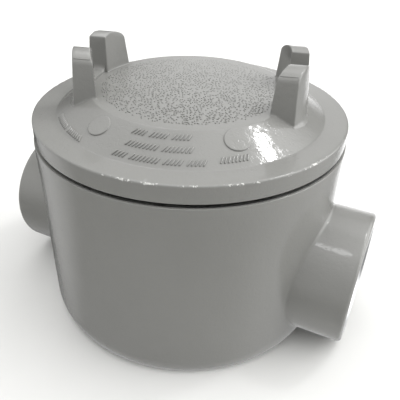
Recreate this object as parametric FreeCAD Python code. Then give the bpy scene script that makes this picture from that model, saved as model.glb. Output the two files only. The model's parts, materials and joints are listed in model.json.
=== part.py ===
# Explosion-proof junction box: a round cast body with two threaded conduit hubs in line,
# closed by a threaded cast cover with four bar lugs and sealed by an O-ring.
# Units are millimetres. The origin is the middle of the flat base, +Z is up, and the
# hubs point along +X and -X.
import math
import os

import FreeCAD, Part
from FreeCAD import Vector

# Body casting
body_radius = 73.5
body_height = 94.1
base_draw_in = 2.6
base_draw_height = 9.1
base_edge = 0.6
floor_thickness = 8.0
wall_thickness = 8.5
floor_fillet = 10.0
mouth_edge = 0.3

# Cover thread: the bore and the skirt stop at the thread roots, a set space apart
neck_wall = 11.5
thread_space = 1.5
thread_length = 17.0
thread_relief = 3.5
bore_chamfer = 1.2

# Conduit hubs, bored for pipe thread
pipe_thread_radius = 24.1
pipe_thread_depth = 22.0
pipe_mouth_chamfer = 1.5
hub_wall = 8.3
hub_base_lift = 1.2
hub_projection = 19.5
hub_blend = 1.5
hub_edge = 2.0
bushing_step = 4.6
bushing_round = 2.5
lip_round = 1.2

# Cover casting
cover_inset = 0.5
rim_gap = 1.7
rim_height = 8.0
rim_edge = 0.8
band_width = 10.6
cone_width = 15.7
plateau_rise = 9.3
cover_thickness = 8.5
skirt_wall = 7.0
skirt_chamfer = 1.5
crease_round = 1.5

# Bar lugs on the cover, pieces of one ring wall with a slot across it, and the bar's pads in the slot
lug_overhang = 2.0
lug_thickness = 7.7
lug_height = 18.3
lug_flare = 1.6
lug_base_width = 15.8
lug_shoulder_drop = 4.8
lug_draft = 8.0
lug_flat = 4.0
lug_edge = 0.5
lug_foot = 0.5
slot_width = 17.4
slot_angle = 15.8
pad_rise = 1.2
pad_overlap = 0.7
pad_setback = 1.0
pad_edge = 0.5

# Cover seal
seal_section = 3.5
seal_inset = 6.5
groove_side_clearance = 0.45
seal_clearance = 0.14

# Ground terminal inside the box
boss_radius = 7.0
boss_height = 9.0
boss_inset = 13.0
boss_draft = 0.6
screw_radius = 2.2
screw_length = 9.0
screw_point = 0.5
screw_head_radius = 4.6
screw_head_height = 3.2
screw_slot_width = 1.2
screw_slot_depth = 1.3
tap_clearance = 0.25
tap_spare_depth = 1.0
washer_radius = 6.0
washer_thickness = 1.0
washer_dish = 0.9
seat_clearance = 0.05

# Levels and radii that follow from the sizes above
UP = Vector(0, 0, 1)
CENTRE = Vector(0, 0, 0)
cavity_radius = body_radius - wall_thickness
cover_bore_radius = body_radius - neck_wall
skirt_radius = cover_bore_radius - thread_space
skirt_inner_radius = skirt_radius - skirt_wall
skirt_bottom = body_height - thread_length
hub_radius = pipe_thread_radius + hub_wall
hub_axis_height = hub_base_lift + hub_radius
hub_reach = body_radius + hub_projection
bushing_radius = pipe_thread_radius - bushing_step
cover_radius = body_radius - cover_inset
band_radius = cover_radius - band_width
plateau_radius = band_radius - cone_width
rim_bottom = body_height + rim_gap
rim_top = rim_bottom + rim_height
plateau_top = rim_top + plateau_rise
lug_inner_radius = plateau_radius - lug_overhang
lug_outer_radius = lug_inner_radius + lug_thickness
lug_top = plateau_top + lug_height
seal_radius = cover_radius - seal_inset
seal_seat = body_height + seal_section + 2 * seal_clearance
boss_offset = cavity_radius - boss_inset
boss_top = floor_thickness + boss_height


def outline(start, *steps):
    """Closed face in the XZ plane: a step is the next point, or an arc's middle and end."""
    here = Vector(start[0], 0, start[1])
    first = here
    edges = []
    for step in steps:
        points = [Vector(p[0], 0, p[1]) for p in step]
        if len(points) == 1:
            edges.append(Part.makeLine(here, points[0]))
        else:
            edges.append(Part.Arc(here, points[0], points[1]).toShape())
        here = points[-1]
    edges.append(Part.makeLine(here, first))
    return Part.Face(Part.Wire(edges))


def turned(start, *steps):
    """Solid of revolution of an outline about the Z axis."""
    return outline(start, *steps).revolve(CENTRE, UP, 360)


def circles_at(shape, radius, level):
    """Circular edges about the Z axis with this radius at this height."""
    found = []
    for edge in shape.Edges:
        curve = edge.Curve
        if not isinstance(curve, Part.Circle):
            continue
        if abs(curve.Radius - radius) > 0.01 or abs(curve.Center.z - level) > 0.01:
            continue
        if math.hypot(curve.Center.x, curve.Center.y) < 0.01:
            found.append(edge)
    return found


def quarter_middle(corner_r, corner_z, size, side_r, side_z):
    """Middle point of a quarter round of this size inside a corner."""
    shift = size * (1 - math.sqrt(0.5))
    return (corner_r + side_r * shift, corner_z + side_z * shift)


def body_outside():
    """Round pot, drawn in towards the base, with both hubs blended into its wall."""
    bend = (base_draw_height ** 2 + base_draw_in ** 2) / (2 * base_draw_in)
    under = 1.5 * hub_blend
    half = base_draw_height / 2
    waist = body_radius - (bend - math.sqrt(bend ** 2 - half ** 2))
    foot = body_radius - base_draw_in
    slope = base_draw_height / (bend - base_draw_in)
    pot = turned((0, -under), [(foot - under * slope, -under)], [(foot, 0)],
                 [(waist, half), (body_radius, base_draw_height)],
                 [(body_radius, body_height - mouth_edge)],
                 [(body_radius - mouth_edge, body_height)], [(0, body_height)])
    # the wall's seam line is turned to the back, clear of both hub joints
    pot.rotate(CENTRE, UP, 90)
    left_end = Vector(-hub_reach, 0, hub_axis_height)
    bar = Part.makeCylinder(hub_radius, 2 * hub_reach, left_end, Vector(1, 0, 0))
    rims = [e for e in bar.Edges if isinstance(e.Curve, Part.Circle)]
    casting = pot.fuse(bar.makeFillet(hub_edge, rims))
    joints = [e for e in casting.Edges if is_hub_joint(e)]
    casting = casting.makeFillet(hub_blend, joints)
    size = 4 * hub_reach
    below = Part.makeBox(size, size, size, Vector(-size / 2, -size / 2, -size))
    casting = casting.cut(below)
    return casting.makeFillet(base_edge, [e for e in casting.Edges if lies_at(e, 0)])


def lies_at(edge, level):
    """True for an edge that lies flat at this height."""
    return abs(edge.BoundBox.ZMin - level) < 0.01 and abs(edge.BoundBox.ZMax - level) < 0.01


def is_hub_joint(edge):
    """True for the saddle curves where a hub meets the round wall."""
    middle = edge.valueAt((edge.FirstParameter + edge.LastParameter) / 2)
    off_axis = math.hypot(middle.y, middle.z - hub_axis_height)
    on_hub = abs(off_axis - hub_radius) < 0.05
    on_wall = abs(middle.x) < body_radius + 0.05
    return on_hub and on_wall and isinstance(edge.Curve, Part.BSplineCurve)


def chamber():
    """Hollow of the body: rounded floor, straight wall and the narrower threaded neck."""
    neck_bottom = skirt_bottom - thread_relief
    neck_step = cavity_radius - cover_bore_radius
    corner = quarter_middle(cavity_radius, floor_thickness, floor_fillet, -1, 1)
    return turned((0, floor_thickness), [(cavity_radius - floor_fillet, floor_thickness)],
                  [corner, (cavity_radius, floor_thickness + floor_fillet)],
                  [(cavity_radius, neck_bottom - neck_step)], [(cover_bore_radius, neck_bottom)],
                  [(cover_bore_radius, body_height - bore_chamfer)],
                  [(cover_bore_radius + bore_chamfer, body_height)],
                  [(cover_bore_radius + bore_chamfer, body_height + 1)], [(0, body_height + 1)])


def hub_bore(side):
    """Pipe-thread bore with a chamfered mouth and a rounded bushing at its end."""
    mouth = pipe_thread_radius + pipe_mouth_chamfer
    stop = hub_reach - pipe_thread_depth
    inside = 0.5 * cavity_radius
    shoulder = quarter_middle(bushing_radius, stop, bushing_round, 1, -1)
    tool = turned((0, hub_reach + 1), [(mouth + 1, hub_reach + 1)],
                  [(pipe_thread_radius, hub_reach - pipe_mouth_chamfer)],
                  [(pipe_thread_radius, stop)], [(bushing_radius + bushing_round, stop)],
                  [shoulder, (bushing_radius, stop - bushing_round)],
                  [(bushing_radius, inside)], [(0, inside)])
    tool.rotate(CENTRE, Vector(0, 1, 0), 90 * side)
    tool.translate(Vector(0, 0, hub_axis_height))
    return tool


def is_bushing_lip(edge):
    """True for the saddle curves where a bushing opens into the chamber."""
    middle = edge.valueAt((edge.FirstParameter + edge.LastParameter) / 2)
    off_axis = math.hypot(middle.y, middle.z - hub_axis_height)
    on_wall = abs(math.hypot(middle.x, middle.y) - cavity_radius) < 0.05
    return on_wall and abs(off_axis - bushing_radius) < 0.05


def ground_boss():
    """Drafted boss that stands in the floor and takes the ground screw."""
    foot = boss_radius + boss_draft
    return Part.makeCone(foot, boss_radius, boss_height + 1, Vector(0, boss_offset, floor_thickness - 1))


def make_body():
    casting = body_outside().cut(chamber())
    casting = casting.fuse(ground_boss().common(body_outside()))
    for side in (1, -1):
        casting = casting.cut(hub_bore(side))
    lips = [e for e in casting.Edges if is_bushing_lip(e)]
    casting = casting.makeFillet(lip_round, lips)
    depth = screw_length + tap_spare_depth
    hole = Part.makeCylinder(screw_radius + tap_clearance, depth, Vector(0, boss_offset, boss_top - depth))
    casting = casting.cut(hole)
    return casting


def cover_plate():
    """Turned form of the cover: rim, flat band, cone, plateau, seal groove and skirt."""
    half_groove = seal_section / 2 + groove_side_clearance
    groove_in = seal_radius - half_groove
    groove_out = seal_radius + half_groove
    under_top = plateau_top - cover_thickness
    under_rim = rim_top - cover_thickness
    fall = (band_radius - plateau_radius) / plateau_rise
    under_radius = skirt_inner_radius - fall * (under_top - under_rim)
    rim_round = quarter_middle(cover_radius, rim_top, rim_edge, -1, -1)
    plate = turned((0, plateau_top), [(plateau_radius, plateau_top)], [(band_radius, rim_top)],
                   [(cover_radius - rim_edge, rim_top)], [rim_round, (cover_radius, rim_top - rim_edge)],
                   [(cover_radius, rim_bottom)], [(groove_out, rim_bottom)], [(groove_out, seal_seat)],
                   [(groove_in, seal_seat)], [(groove_in, rim_bottom)], [(skirt_radius, rim_bottom)],
                   [(skirt_radius, skirt_bottom + skirt_chamfer)],
                   [(skirt_radius - skirt_chamfer, skirt_bottom)],
                   [(skirt_inner_radius, skirt_bottom)], [(skirt_inner_radius, under_rim)],
                   [(under_radius, under_top)], [(0, under_top)])
    creases = circles_at(plate, plateau_radius, plateau_top) + circles_at(plate, band_radius, rim_top)
    return plate.makeFillet(crease_round, creases)


def lug():
    """One bar lug: flat towards the slot, arched over the top, drafted at its far end and outside."""
    near = slot_width / 2
    lean = math.tan(math.radians(lug_draft))
    foot = near + lug_base_width
    root = rim_top + 0.25 * plateau_rise
    shoulder = lug_top - lug_shoulder_drop
    edge_of_arch = foot - lean * (shoulder - plateau_top)
    arch = (near + lug_flat + 0.72 * (edge_of_arch - near - lug_flat), lug_top - 0.3 * lug_shoulder_drop)
    face = outline((near, root), [(near, lug_top)], [(near + lug_flat, lug_top)],
                   [arch, (edge_of_arch, shoulder)], [(foot + lean * (plateau_top - root), root)])
    block = face.extrude(Vector(0, 2 * lug_outer_radius, 0))
    block.rotate(CENTRE, UP, -90)
    swell = lug_flare * lug_top / lug_height
    around = Part.makeCone(lug_outer_radius + swell, lug_outer_radius, lug_top)
    ring = around.cut(Part.makeCylinder(lug_inner_radius, lug_top))
    piece = block.common(ring)
    upper = [e for e in piece.Edges if e.BoundBox.ZMax > root + 0.1]
    return piece.makeFillet(lug_edge, upper)


def is_lug_foot(edge):
    """True for the edges where a lug stands on the cone and the plateau."""
    middle = edge.valueAt((edge.FirstParameter + edge.LastParameter) / 2)
    radius = math.hypot(middle.x, middle.y)
    within = lug_inner_radius - 0.5 < radius < lug_outer_radius + lug_flare + 0.5
    box = edge.BoundBox
    small = box.DiagonalLength < 2 * lug_base_width
    return within and small and box.ZMax < plateau_top + 0.5 and box.ZMin > rim_top


def slot_pad():
    """Low pad in the slot, between one pair of lugs, that carries the bar level."""
    top = plateau_top + pad_rise
    root = rim_top + 0.25 * plateau_rise
    around = Part.makeCylinder(lug_outer_radius - pad_setback, top - root, Vector(0, 0, root))
    within = Part.makeCylinder(plateau_radius - pad_overlap, top - root, Vector(0, 0, root))
    half = slot_width / 2 + lug_flat / 2
    block = Part.makeBox(lug_outer_radius, 2 * half, top - root, Vector(0, -half, root))
    pad = around.cut(within).common(block)
    rims = [e for e in pad.Edges if lies_at(e, top) and isinstance(e.Curve, Part.Circle)]
    return pad.makeFillet(pad_edge, rims)


def make_cover():
    one = lug()
    other = one.mirror(CENTRE, Vector(0, 1, 0))
    lugs = [one, other, one.mirror(CENTRE, Vector(1, 0, 0)), other.mirror(CENTRE, Vector(1, 0, 0))]
    cover = cover_plate().fuse(lugs)
    cover = cover.makeFillet(lug_foot, [e for e in cover.Edges if is_lug_foot(e)])
    pad = slot_pad()
    cover = cover.fuse([pad, pad.mirror(CENTRE, Vector(1, 0, 0))])
    cover.rotate(CENTRE, UP, slot_angle)
    return cover


def make_seal():
    middle = body_height + seal_clearance + seal_section / 2
    return Part.makeTorus(seal_radius, seal_section / 2, Vector(0, 0, middle))


def make_washer():
    """Dished wire washer that lies on the ground boss."""
    seat = boss_top + seat_clearance
    inner = screw_radius + tap_clearance
    rise = washer_dish
    face = outline((inner, seat), [(washer_radius - rise, seat)], [(washer_radius, seat + rise)],
                   [(washer_radius, seat + rise + washer_thickness)],
                   [(washer_radius - rise, seat + washer_thickness)], [(inner, seat + washer_thickness)])
    washer = face.revolve(CENTRE, UP, 360)
    washer.translate(Vector(0, boss_offset, 0))
    return washer


def make_screw():
    """Slotted ground screw, its head on the washer and its shank in the boss."""
    seat = boss_top + 2 * seat_clearance + washer_thickness
    top = seat + screw_head_height
    tip = seat - washer_thickness - screw_length
    crown = (0.7 * screw_head_radius, top - 0.25 * screw_head_height)
    screw = turned((0, tip), [(screw_radius - screw_point, tip)], [(screw_radius, tip + screw_point)],
                   [(screw_radius, seat)], [(screw_head_radius, seat)],
                   [(screw_head_radius, seat + 0.4 * screw_head_height)],
                   [crown, (0.3 * screw_head_radius, top)], [(0, top)])
    slot = Part.makeBox(4 * screw_head_radius, screw_slot_width, screw_slot_depth + 1,
                        Vector(-2 * screw_head_radius, -screw_slot_width / 2, top - screw_slot_depth))
    screw = screw.cut(slot)
    screw.translate(Vector(0, boss_offset, 0))
    return screw


pieces = {
    "body": make_body,
    "cover": make_cover,
    "cover_o_ring": make_seal,
    "ground_screw": make_screw,
    "ground_washer": make_washer,
}
os.makedirs("parts", exist_ok=True)
for name, make in pieces.items():
    shape = make()
    shape.exportStep("parts/%s.step" % name)
    print("%s: %.1f cm3, %d solid" % (name, shape.Volume / 1000, len(shape.Solids)))
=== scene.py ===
# %% [markdown]
# # Explosion-proof junction box
# A round cast-aluminium box with two conduit hubs in line. Its cover screws in like the lid of a
# jar: a bar laid between the four lugs turns it, and an O-ring closes the joint. Everything is
# built in the CAD part's own frame. The origin is the middle of the base, +Z is up, the hubs
# point along X and one Blender unit is a metre, so lengths are written as millimetres times MM.

# %% Load the CAD frame
import json
import math
import random

import bmesh
import bpy
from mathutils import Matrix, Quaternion, Vector, noise


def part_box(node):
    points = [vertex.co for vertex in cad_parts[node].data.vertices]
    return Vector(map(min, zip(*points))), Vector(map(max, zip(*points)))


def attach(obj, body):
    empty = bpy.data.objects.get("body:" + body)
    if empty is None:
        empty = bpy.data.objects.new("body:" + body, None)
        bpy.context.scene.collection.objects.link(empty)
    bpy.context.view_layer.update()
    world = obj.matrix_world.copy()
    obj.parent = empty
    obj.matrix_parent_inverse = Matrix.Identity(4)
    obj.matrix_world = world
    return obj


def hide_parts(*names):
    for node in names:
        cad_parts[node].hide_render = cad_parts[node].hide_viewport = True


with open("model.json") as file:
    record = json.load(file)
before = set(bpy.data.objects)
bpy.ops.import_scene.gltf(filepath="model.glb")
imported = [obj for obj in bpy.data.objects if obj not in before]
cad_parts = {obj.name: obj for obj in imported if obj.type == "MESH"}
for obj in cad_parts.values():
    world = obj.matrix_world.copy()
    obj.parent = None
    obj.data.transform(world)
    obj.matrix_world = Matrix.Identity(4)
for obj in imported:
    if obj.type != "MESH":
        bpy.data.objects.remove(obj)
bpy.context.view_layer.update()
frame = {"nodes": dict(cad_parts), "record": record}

MM = 0.001

# %% [markdown]
# ## Camera
# The camera is close to the box, above it and a little to the right of its front, so the near rim
# looks larger than the far one. Place, aim, lens and roll were fitted together to the circles of
# the lid and of the hub ends. A camera looks along its own -Z, so a track quaternion aims that
# axis, and a turn about it adds the roll.

# %% Camera
camera_place = Vector((98.0, -197.7, 195.9)) * MM
camera_aim = Vector((4.8, 2.7, 49.7)) * MM
camera_roll = math.radians(1.86)

camera_data = bpy.data.cameras.new("camera")
camera_data.sensor_width = 36
camera_data.lens = 44.4
camera = bpy.data.objects.new("camera", camera_data)
bpy.context.scene.collection.objects.link(camera)
camera.rotation_mode = "QUATERNION"
camera.location = camera_place
camera.rotation_quaternion = (
    (camera_aim - camera_place).to_track_quat("-Z", "Y") @ Quaternion((0, 0, 1), camera_roll))
bpy.context.scene.camera = camera
print("camera", round((camera_aim - camera_place).length / MM), "mm from its aim")

# %% [markdown]
# ## Helpers for finishes
# Every finish is a node tree. One function adds a node with its settings and links, so each
# material below reads as a list of what it is made of, and the same links feed the shader at the
# end. Colours are written as on a screen, in sRGB hex, and turned to the linear values that the
# renderer works in.

# %% Helpers for finishes
def colour(hex_code):
    """Linear RGBA of an sRGB hex colour."""
    parts = [int(hex_code[i:i + 2], 16) / 255 for i in (1, 3, 5)]
    return [p / 12.92 if p <= 0.04045 else ((p + 0.055) / 1.055) ** 2.4 for p in parts] + [1.0]


def feed(node, inputs):
    """Set sockets of a node; inputs maps a socket to a value, or to the output that feeds it."""
    for socket, value in inputs.items():
        if isinstance(value, bpy.types.NodeSocket):
            node.id_data.links.new(value, node.inputs[socket])
        else:
            node.inputs[socket].default_value = value


def add(tree, kind, inputs=None, **settings):
    """New node with its settings and what feeds it."""
    node = tree.nodes.new(kind)
    for name, value in settings.items():
        setattr(node, name, value)
    feed(node, inputs or {})
    return node


def finish(name, metallic=0.0, roughness=0.5, ior=1.5):
    """New material with its shader and the object's own coordinates, in metres."""
    material = bpy.data.materials.new(name)
    material.use_nodes = True
    tree = material.node_tree
    shader = tree.nodes["Principled BSDF"]
    feed(shader, {"Metallic": metallic, "Roughness": roughness, "IOR": ior})
    place = add(tree, "ShaderNodeTexCoord").outputs["Object"]
    return material, tree, shader, place


def per_metre(millimetres):
    """Noise scale whose bumps are about this far apart."""
    return 1 / (millimetres * MM)


print("grey at 50 % on screen is", round(colour("#808080")[0], 3), "in linear light")

# %% [markdown]
# ## Lamps
# Two small lamps give what the enamel mirrors most, the white patch on the lid's cone and the
# streak along the hub. Each hangs where that surface mirrors it into the camera, so it is placed
# by a direction from that spot. An area light looks as bright as its power over its area, so
# these look very bright though they add little light.

# %% Lamps
lamp_distance = 1.3


def lamp(name, aim, towards, size, power):
    """Square area light, hung in a direction from its aim; sizes in metres, power in watts."""
    place = aim + lamp_distance * towards
    data = bpy.data.lights.new(name, "AREA")
    data.size = size
    data.energy = power
    light = bpy.data.objects.new(name, data)
    light.rotation_mode = "QUATERNION"
    light.location = place
    light.rotation_quaternion = (aim - place).to_track_quat("-Z", "Y")
    bpy.context.scene.collection.objects.link(light)


patch_on_cone = Vector((48, -30, 108)) * MM
lamp("patch_lamp", patch_on_cone, towards=Vector((0.365, 0.46, 0.81)), size=0.15, power=2.4)
hub_top = Vector((83, -19, 60)) * MM
lamp("streak_lamp", hub_top, towards=Vector((-0.07, -0.32, 0.945)), size=0.14, power=0.3)

# %% [markdown]
# ## Light tent
# The rest of the light is a tent round the box. Its roof and its right side glow most, and the
# side towards the camera is dim, because the lens looks in there. The tent is the world's
# background, so it needs no mesh. Each glow is a heading, a height and a reach in degrees, and a
# strength that grows towards its middle. The glows below the floor are seen only in mirror
# images. The standard view transform keeps the greys as they are painted.

# %% Light tent
unlit_cloth = 0.02
tent_glows = {
    "roof": (0, 90, 45, 1.5), "roof right": (26, 60, 45, 0.5), "roof front": (-64, 60, 45, 0.7),
    "roof far right": (80, 55, 25, 1.1), "roof far left": (155, 55, 25, 1.2),
    "right": (26, 25, 45, 3.4), "front left": (-105, 25, 50, 0.7), "left": (-154, 25, 45, 0.6),
    "far left": (170, 25, 32, 0.7), "back": (112, 34, 30, 0.75), "back low": (108, 13, 22, 0.55),
    "roof back": (128, 52, 14, 1.8), "below": (0, -90, 60, 0.7), "below right": (26, -25, 53, 0.6),
    "below back": (100, -20, 35, 1.7), "below far left": (180, -20, 30, 0.8)}

world = bpy.data.worlds.new("light tent")
bpy.context.scene.world = world
world.use_nodes = True
tent = world.node_tree
sky = add(tent, "ShaderNodeTexCoord").outputs["Generated"]
strength = unlit_cloth
for heading, height, reach, glow in tent_glows.values():
    heading, height, reach = (math.radians(angle) for angle in (heading, height, reach))
    level = math.cos(height)
    middle = (level * math.cos(heading), level * math.sin(heading), math.sin(height))
    facing = add(tent, "ShaderNodeVectorMath", {0: sky, 1: middle}, operation="DOT_PRODUCT")
    lit = add(tent, "ShaderNodeMapRange",
              {"Value": facing.outputs["Value"], "From Min": math.cos(reach), "From Max": 1.0,
               "To Max": glow}, interpolation_type="SMOOTHSTEP")
    strength = add(tent, "ShaderNodeMath", {0: lit.outputs[0], 1: strength}).outputs[0]
feed(tent.nodes["Background"], {"Color": (1, 1, 1, 1), "Strength": strength})
bpy.context.scene.view_settings.view_transform = "Standard"
print("light tent with", len(tent_glows), "glows")

# %% [markdown]
# ## Grey enamel: colour and chips
# The castings are sprayed with a light grey enamel and baked. Its shade changes slowly, where the
# coat lies thicker. Where an edge was knocked, small chips show paler metal: the meshes carry a
# value called wear on such edges, and two noises break it up, a coarse one for the knocks and a
# fine one for the chips.

# %% Grey enamel: colour and chips
cloud_width = 45.0
chip_width = 1.0
knock_spacing = 6.0
chip_start, chip_full = 1.06, 1.1  # wear times both noises, where the coat gives way

enamel, tree, shader, place = finish("grey enamel on cast aluminium", roughness=0.09)
clouds = add(tree, "ShaderNodeTexNoise",
             {"Vector": place, "Scale": per_metre(cloud_width), "Detail": 3.0})
shade = add(tree, "ShaderNodeMix",
            {0: clouds.outputs[0], 6: colour("#7E7E7B"), 7: colour("#868683")}, data_type="RGBA")
wear = add(tree, "ShaderNodeAttribute", attribute_name="wear")
chips = add(tree, "ShaderNodeTexNoise",
            {"Vector": place, "Scale": per_metre(chip_width), "Detail": 4.0})
knocks = add(tree, "ShaderNodeTexNoise",
             {"Vector": place, "Scale": per_metre(knock_spacing), "Detail": 1.0})
knocked = add(tree, "ShaderNodeMath", {0: chips.outputs[0], 1: knocks.outputs[0]}, operation="ADD")
worn = add(tree, "ShaderNodeMath",
           {0: wear.outputs["Fac"], 1: knocked.outputs[0]}, operation="MULTIPLY")
bare = add(tree, "ShaderNodeMapRange",
           {"Value": worn.outputs[0], "From Min": chip_start, "From Max": chip_full})
coat = add(tree, "ShaderNodeMix",
           {0: bare.outputs[0], 6: shade.outputs[2], 7: colour("#C4C4C0")}, data_type="RGBA")
feed(shader, {"Base Color": coat.outputs[2]})
print("coloured", enamel.name)

# %% [markdown]
# ## Grey enamel: gloss and surface
# The coat flows before it sets, so it has an even gloss, with an orange peel about 3 mm wide, pits
# about 1 mm wide and a few nibs of dust caught in it. All three are bump, because none is deeper
# or higher than a quarter of a millimetre. Each bump node starts from the normal of the one
# before it, so they add up.

# %% Grey enamel: gloss and surface
pit_width, pit_depth = 1.1, 0.06 * MM
pit_bottom, pit_brim = 0.34, 0.42  # values of the noise
peel_width, peel_depth = 2.8, 0.16 * MM
nib_spacing, nib_height = 9.0, 0.25 * MM
nib_share = 0.06  # of their spacing

gloss = add(tree, "ShaderNodeMapRange", {"Value": clouds.outputs[0], "To Min": 0.07, "To Max": 0.11})
pits = add(tree, "ShaderNodeTexNoise",
           {"Vector": place, "Scale": per_metre(pit_width), "Detail": 1.0})
pitted = add(tree, "ShaderNodeMapRange",
             {"Value": pits.outputs[0], "From Min": pit_bottom, "From Max": pit_brim})
pit_bump = add(tree, "ShaderNodeBump",
               {"Height": pitted.outputs[0], "Strength": 0.35, "Distance": pit_depth})
peel = add(tree, "ShaderNodeTexNoise",
           {"Vector": place, "Scale": per_metre(peel_width), "Detail": 2.0})
peel_bump = add(tree, "ShaderNodeBump", {"Height": peel.outputs[0], "Strength": 0.6,
                                         "Distance": peel_depth, "Normal": pit_bump.outputs[0]})
cells = add(tree, "ShaderNodeTexVoronoi", {"Vector": place, "Scale": per_metre(nib_spacing)})
nibs = add(tree, "ShaderNodeMapRange",
           {"Value": cells.outputs["Distance"], "From Min": nib_share, "From Max": 0.0})
nib_bump = add(tree, "ShaderNodeBump", {"Height": nibs.outputs[0], "Strength": 0.5,
                                        "Distance": nib_height, "Normal": peel_bump.outputs[0]})
feed(shader, {"Roughness": gloss.outputs[0], "Normal": nib_bump.outputs[0]})
print("made", enamel.name, "with", len(tree.nodes), "nodes")

# %% [markdown]
# ## Machined aluminium
# Bores, threads and sealing faces are turned after casting and left bare. A turned face carries
# fine grooves from the tool, so its bump follows rings round the axis that it was turned on, and
# old stains make it duller in places. A hub turns about X and the neck about Z: a Wave texture set
# to rings makes both, and each gets its own material. Real tool marks are 0.1 to 0.2 mm apart,
# drawn here at 1.2 mm to show. The Wave node makes 20 / (2 pi) rings in each unit of its scale.

# %% Machined aluminium
tool_mark, groove_depth = 1.2, 0.06 * MM
wave_period = 2 * math.pi / 20
stain_width = 12.0


def turned_aluminium(axis, offset):
    """Bare turned aluminium with tool marks round an axis through a point."""
    name = "turned aluminium round " + axis
    material, tree, shader, place = finish(name, metallic=1.0, roughness=0.3)
    centred = add(tree, "ShaderNodeVectorMath", {0: place, 1: offset}, operation="SUBTRACT")
    marks = add(tree, "ShaderNodeTexWave",
                {"Vector": centred.outputs[0], "Scale": wave_period * per_metre(tool_mark),
                 "Distortion": 0.4, "Detail": 1.0}, wave_type="RINGS", rings_direction=axis)
    stain = add(tree, "ShaderNodeTexNoise",
                {"Vector": place, "Scale": per_metre(stain_width), "Detail": 4.0})
    tone = add(tree, "ShaderNodeMix",
               {0: stain.outputs[0], 6: colour("#C4C5C6"), 7: colour("#DADBDB")}, data_type="RGBA")
    dull = add(tree, "ShaderNodeMapRange", {"Value": stain.outputs[0], "To Min": 0.26, "To Max": 0.42})
    grooves = add(tree, "ShaderNodeBump",
                  {"Height": marks.outputs[0], "Strength": 0.3, "Distance": groove_depth})
    feed(shader, {"Base Color": tone.outputs[2], "Roughness": dull.outputs[0],
                  "Normal": grooves.outputs[0]})
    return material


hub_mount = next(m for m in frame["record"]["mounts"] if m["name"] == "right_hub")
hub_height = hub_mount["pos_m"][2]
turned_hub = turned_aluminium("X", (0, 0, hub_height))
turned_neck = turned_aluminium("Z", (0, 0, 0))
print("made", turned_hub.name, "and", turned_neck.name)

# %% [markdown]
# ## Helper for meshes
# A casting is easiest to control as patches of quads: rows of points, each row joined to the
# next. Neighbouring patches end on the same points, and merging those by distance closes the
# mesh. Each patch gives the number of its finish in the list of the piece.

# %% Helper for meshes
merge_distance = 0.01 * MM


class Skin:
    """Quads laid patch by patch, merged to one mesh at the end."""

    def __init__(self):
        self.points = []
        self.faces = []
        self.face_finish = []
        self.wear = []

    def add_row(self, row, wear=None):
        """Store the points of a row, with their wear."""
        self.points.extend(tuple(p) for p in row)
        self.wear.extend(wear or [0.0] * len(row))

    def patch(self, rows, finish_number=0, closed=True, wear=None):
        """Quads between neighbouring rows; closed rows join their own two ends."""
        count = len(rows[0])
        start = len(self.points)
        for row in rows:
            self.add_row(row, wear)
        for i in range(len(rows) - 1):
            for k in range(count if closed else count - 1):
                here = start + i * count
                after = (k + 1) % count
                self.faces.append((here + k, here + after, here + count + after, here + count + k))
                self.face_finish.append(finish_number)

    def cap(self, row, turn=1):
        """One face over a closed row; a turn of -1 makes it look the other way."""
        start = len(self.points)
        self.add_row(row)
        self.faces.append(tuple(range(start, start + len(row)))[::turn])
        self.face_finish.append(0)

    def mesh(self):
        """The patches as one bmesh, with the shared borders merged."""
        data = bpy.data.meshes.new("patches")
        data.from_pydata(self.points, [], self.faces)
        data.polygons.foreach_set("material_index", self.face_finish)
        data.attributes.new("wear", "FLOAT", "POINT").data.foreach_set("value", self.wear)
        work = bmesh.new()
        work.from_mesh(data)
        bpy.data.meshes.remove(data)
        bmesh.ops.remove_doubles(work, verts=work.verts, dist=merge_distance)
        bmesh.ops.recalc_face_normals(work, faces=work.faces)
        return work


print("a skin has", [name for name in vars(Skin) if not name.startswith("_")])

# %% [markdown]
# ## Helpers for pieces
# A finished mesh becomes an object, and a piece of the part also rides on one of the CAD bodies.
# Edges sharper than a set angle stay sharp in the shading, and everything below it is smooth. The
# rest are the points, rings and even steps that all the shapes below are laid out with.

# %% Helpers for pieces
def show(name, work, finishes, sharp=180):
    """Object from a bmesh, smooth but for edges sharper than an angle in degrees."""
    data = bpy.data.meshes.new(name)
    work.to_mesh(data)
    work.free()
    data.shade_smooth()
    data.set_sharp_from_angle(angle=math.radians(sharp))
    for material in finishes:
        data.materials.append(material)
    obj = bpy.data.objects.new(name, data)
    bpy.context.scene.collection.objects.link(obj)
    return obj


def piece(name, work, finishes, body, sharp=38, replaces=None):
    """Object that rides on a CAD body and may be shown in place of a CAD node."""
    open_edges = sum(1 for e in work.edges if len(e.link_faces) != 2)
    obj = show(name, work, finishes, sharp)
    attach(obj, body)
    if replaces:
        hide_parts(replaces)
    triangles = sum(len(p.vertices) - 2 for p in obj.data.polygons)
    print(name, "has", triangles, "triangles and", open_edges, "open edges")


def round_z(radius, turn, z):
    """Point at a radius and a turn round the Z axis."""
    return Vector((radius * math.cos(turn), radius * math.sin(turn), z))


def ring(radius, z, columns):
    """Points of a level circle."""
    return [round_z(radius, 2 * math.pi * k / columns, z) for k in range(columns)]


def shares(steps):
    """Even steps from 0 to 1."""
    return [i / steps for i in range(steps + 1)]


def quarter(steps):
    """Sine and cosine pairs from 0 to 90 degrees."""
    turns = [math.pi / 2 * i / steps for i in range(steps + 1)]
    return [(math.sin(t), math.cos(t)) for t in turns]


print("a quarter in two steps", [(round(s, 2), round(c, 2)) for s, c in quarter(2)])

# %% [markdown]
# ## Body: sizes
# The body is one casting: a round pot, drawn in a little towards its base, with a hub blended
# into each side. Its overall sizes are read from the CAD node's box and from the hub's mount in
# the record, so the mesh sits exactly where the CAD is. The rest are wall sizes and roundings.

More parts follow.
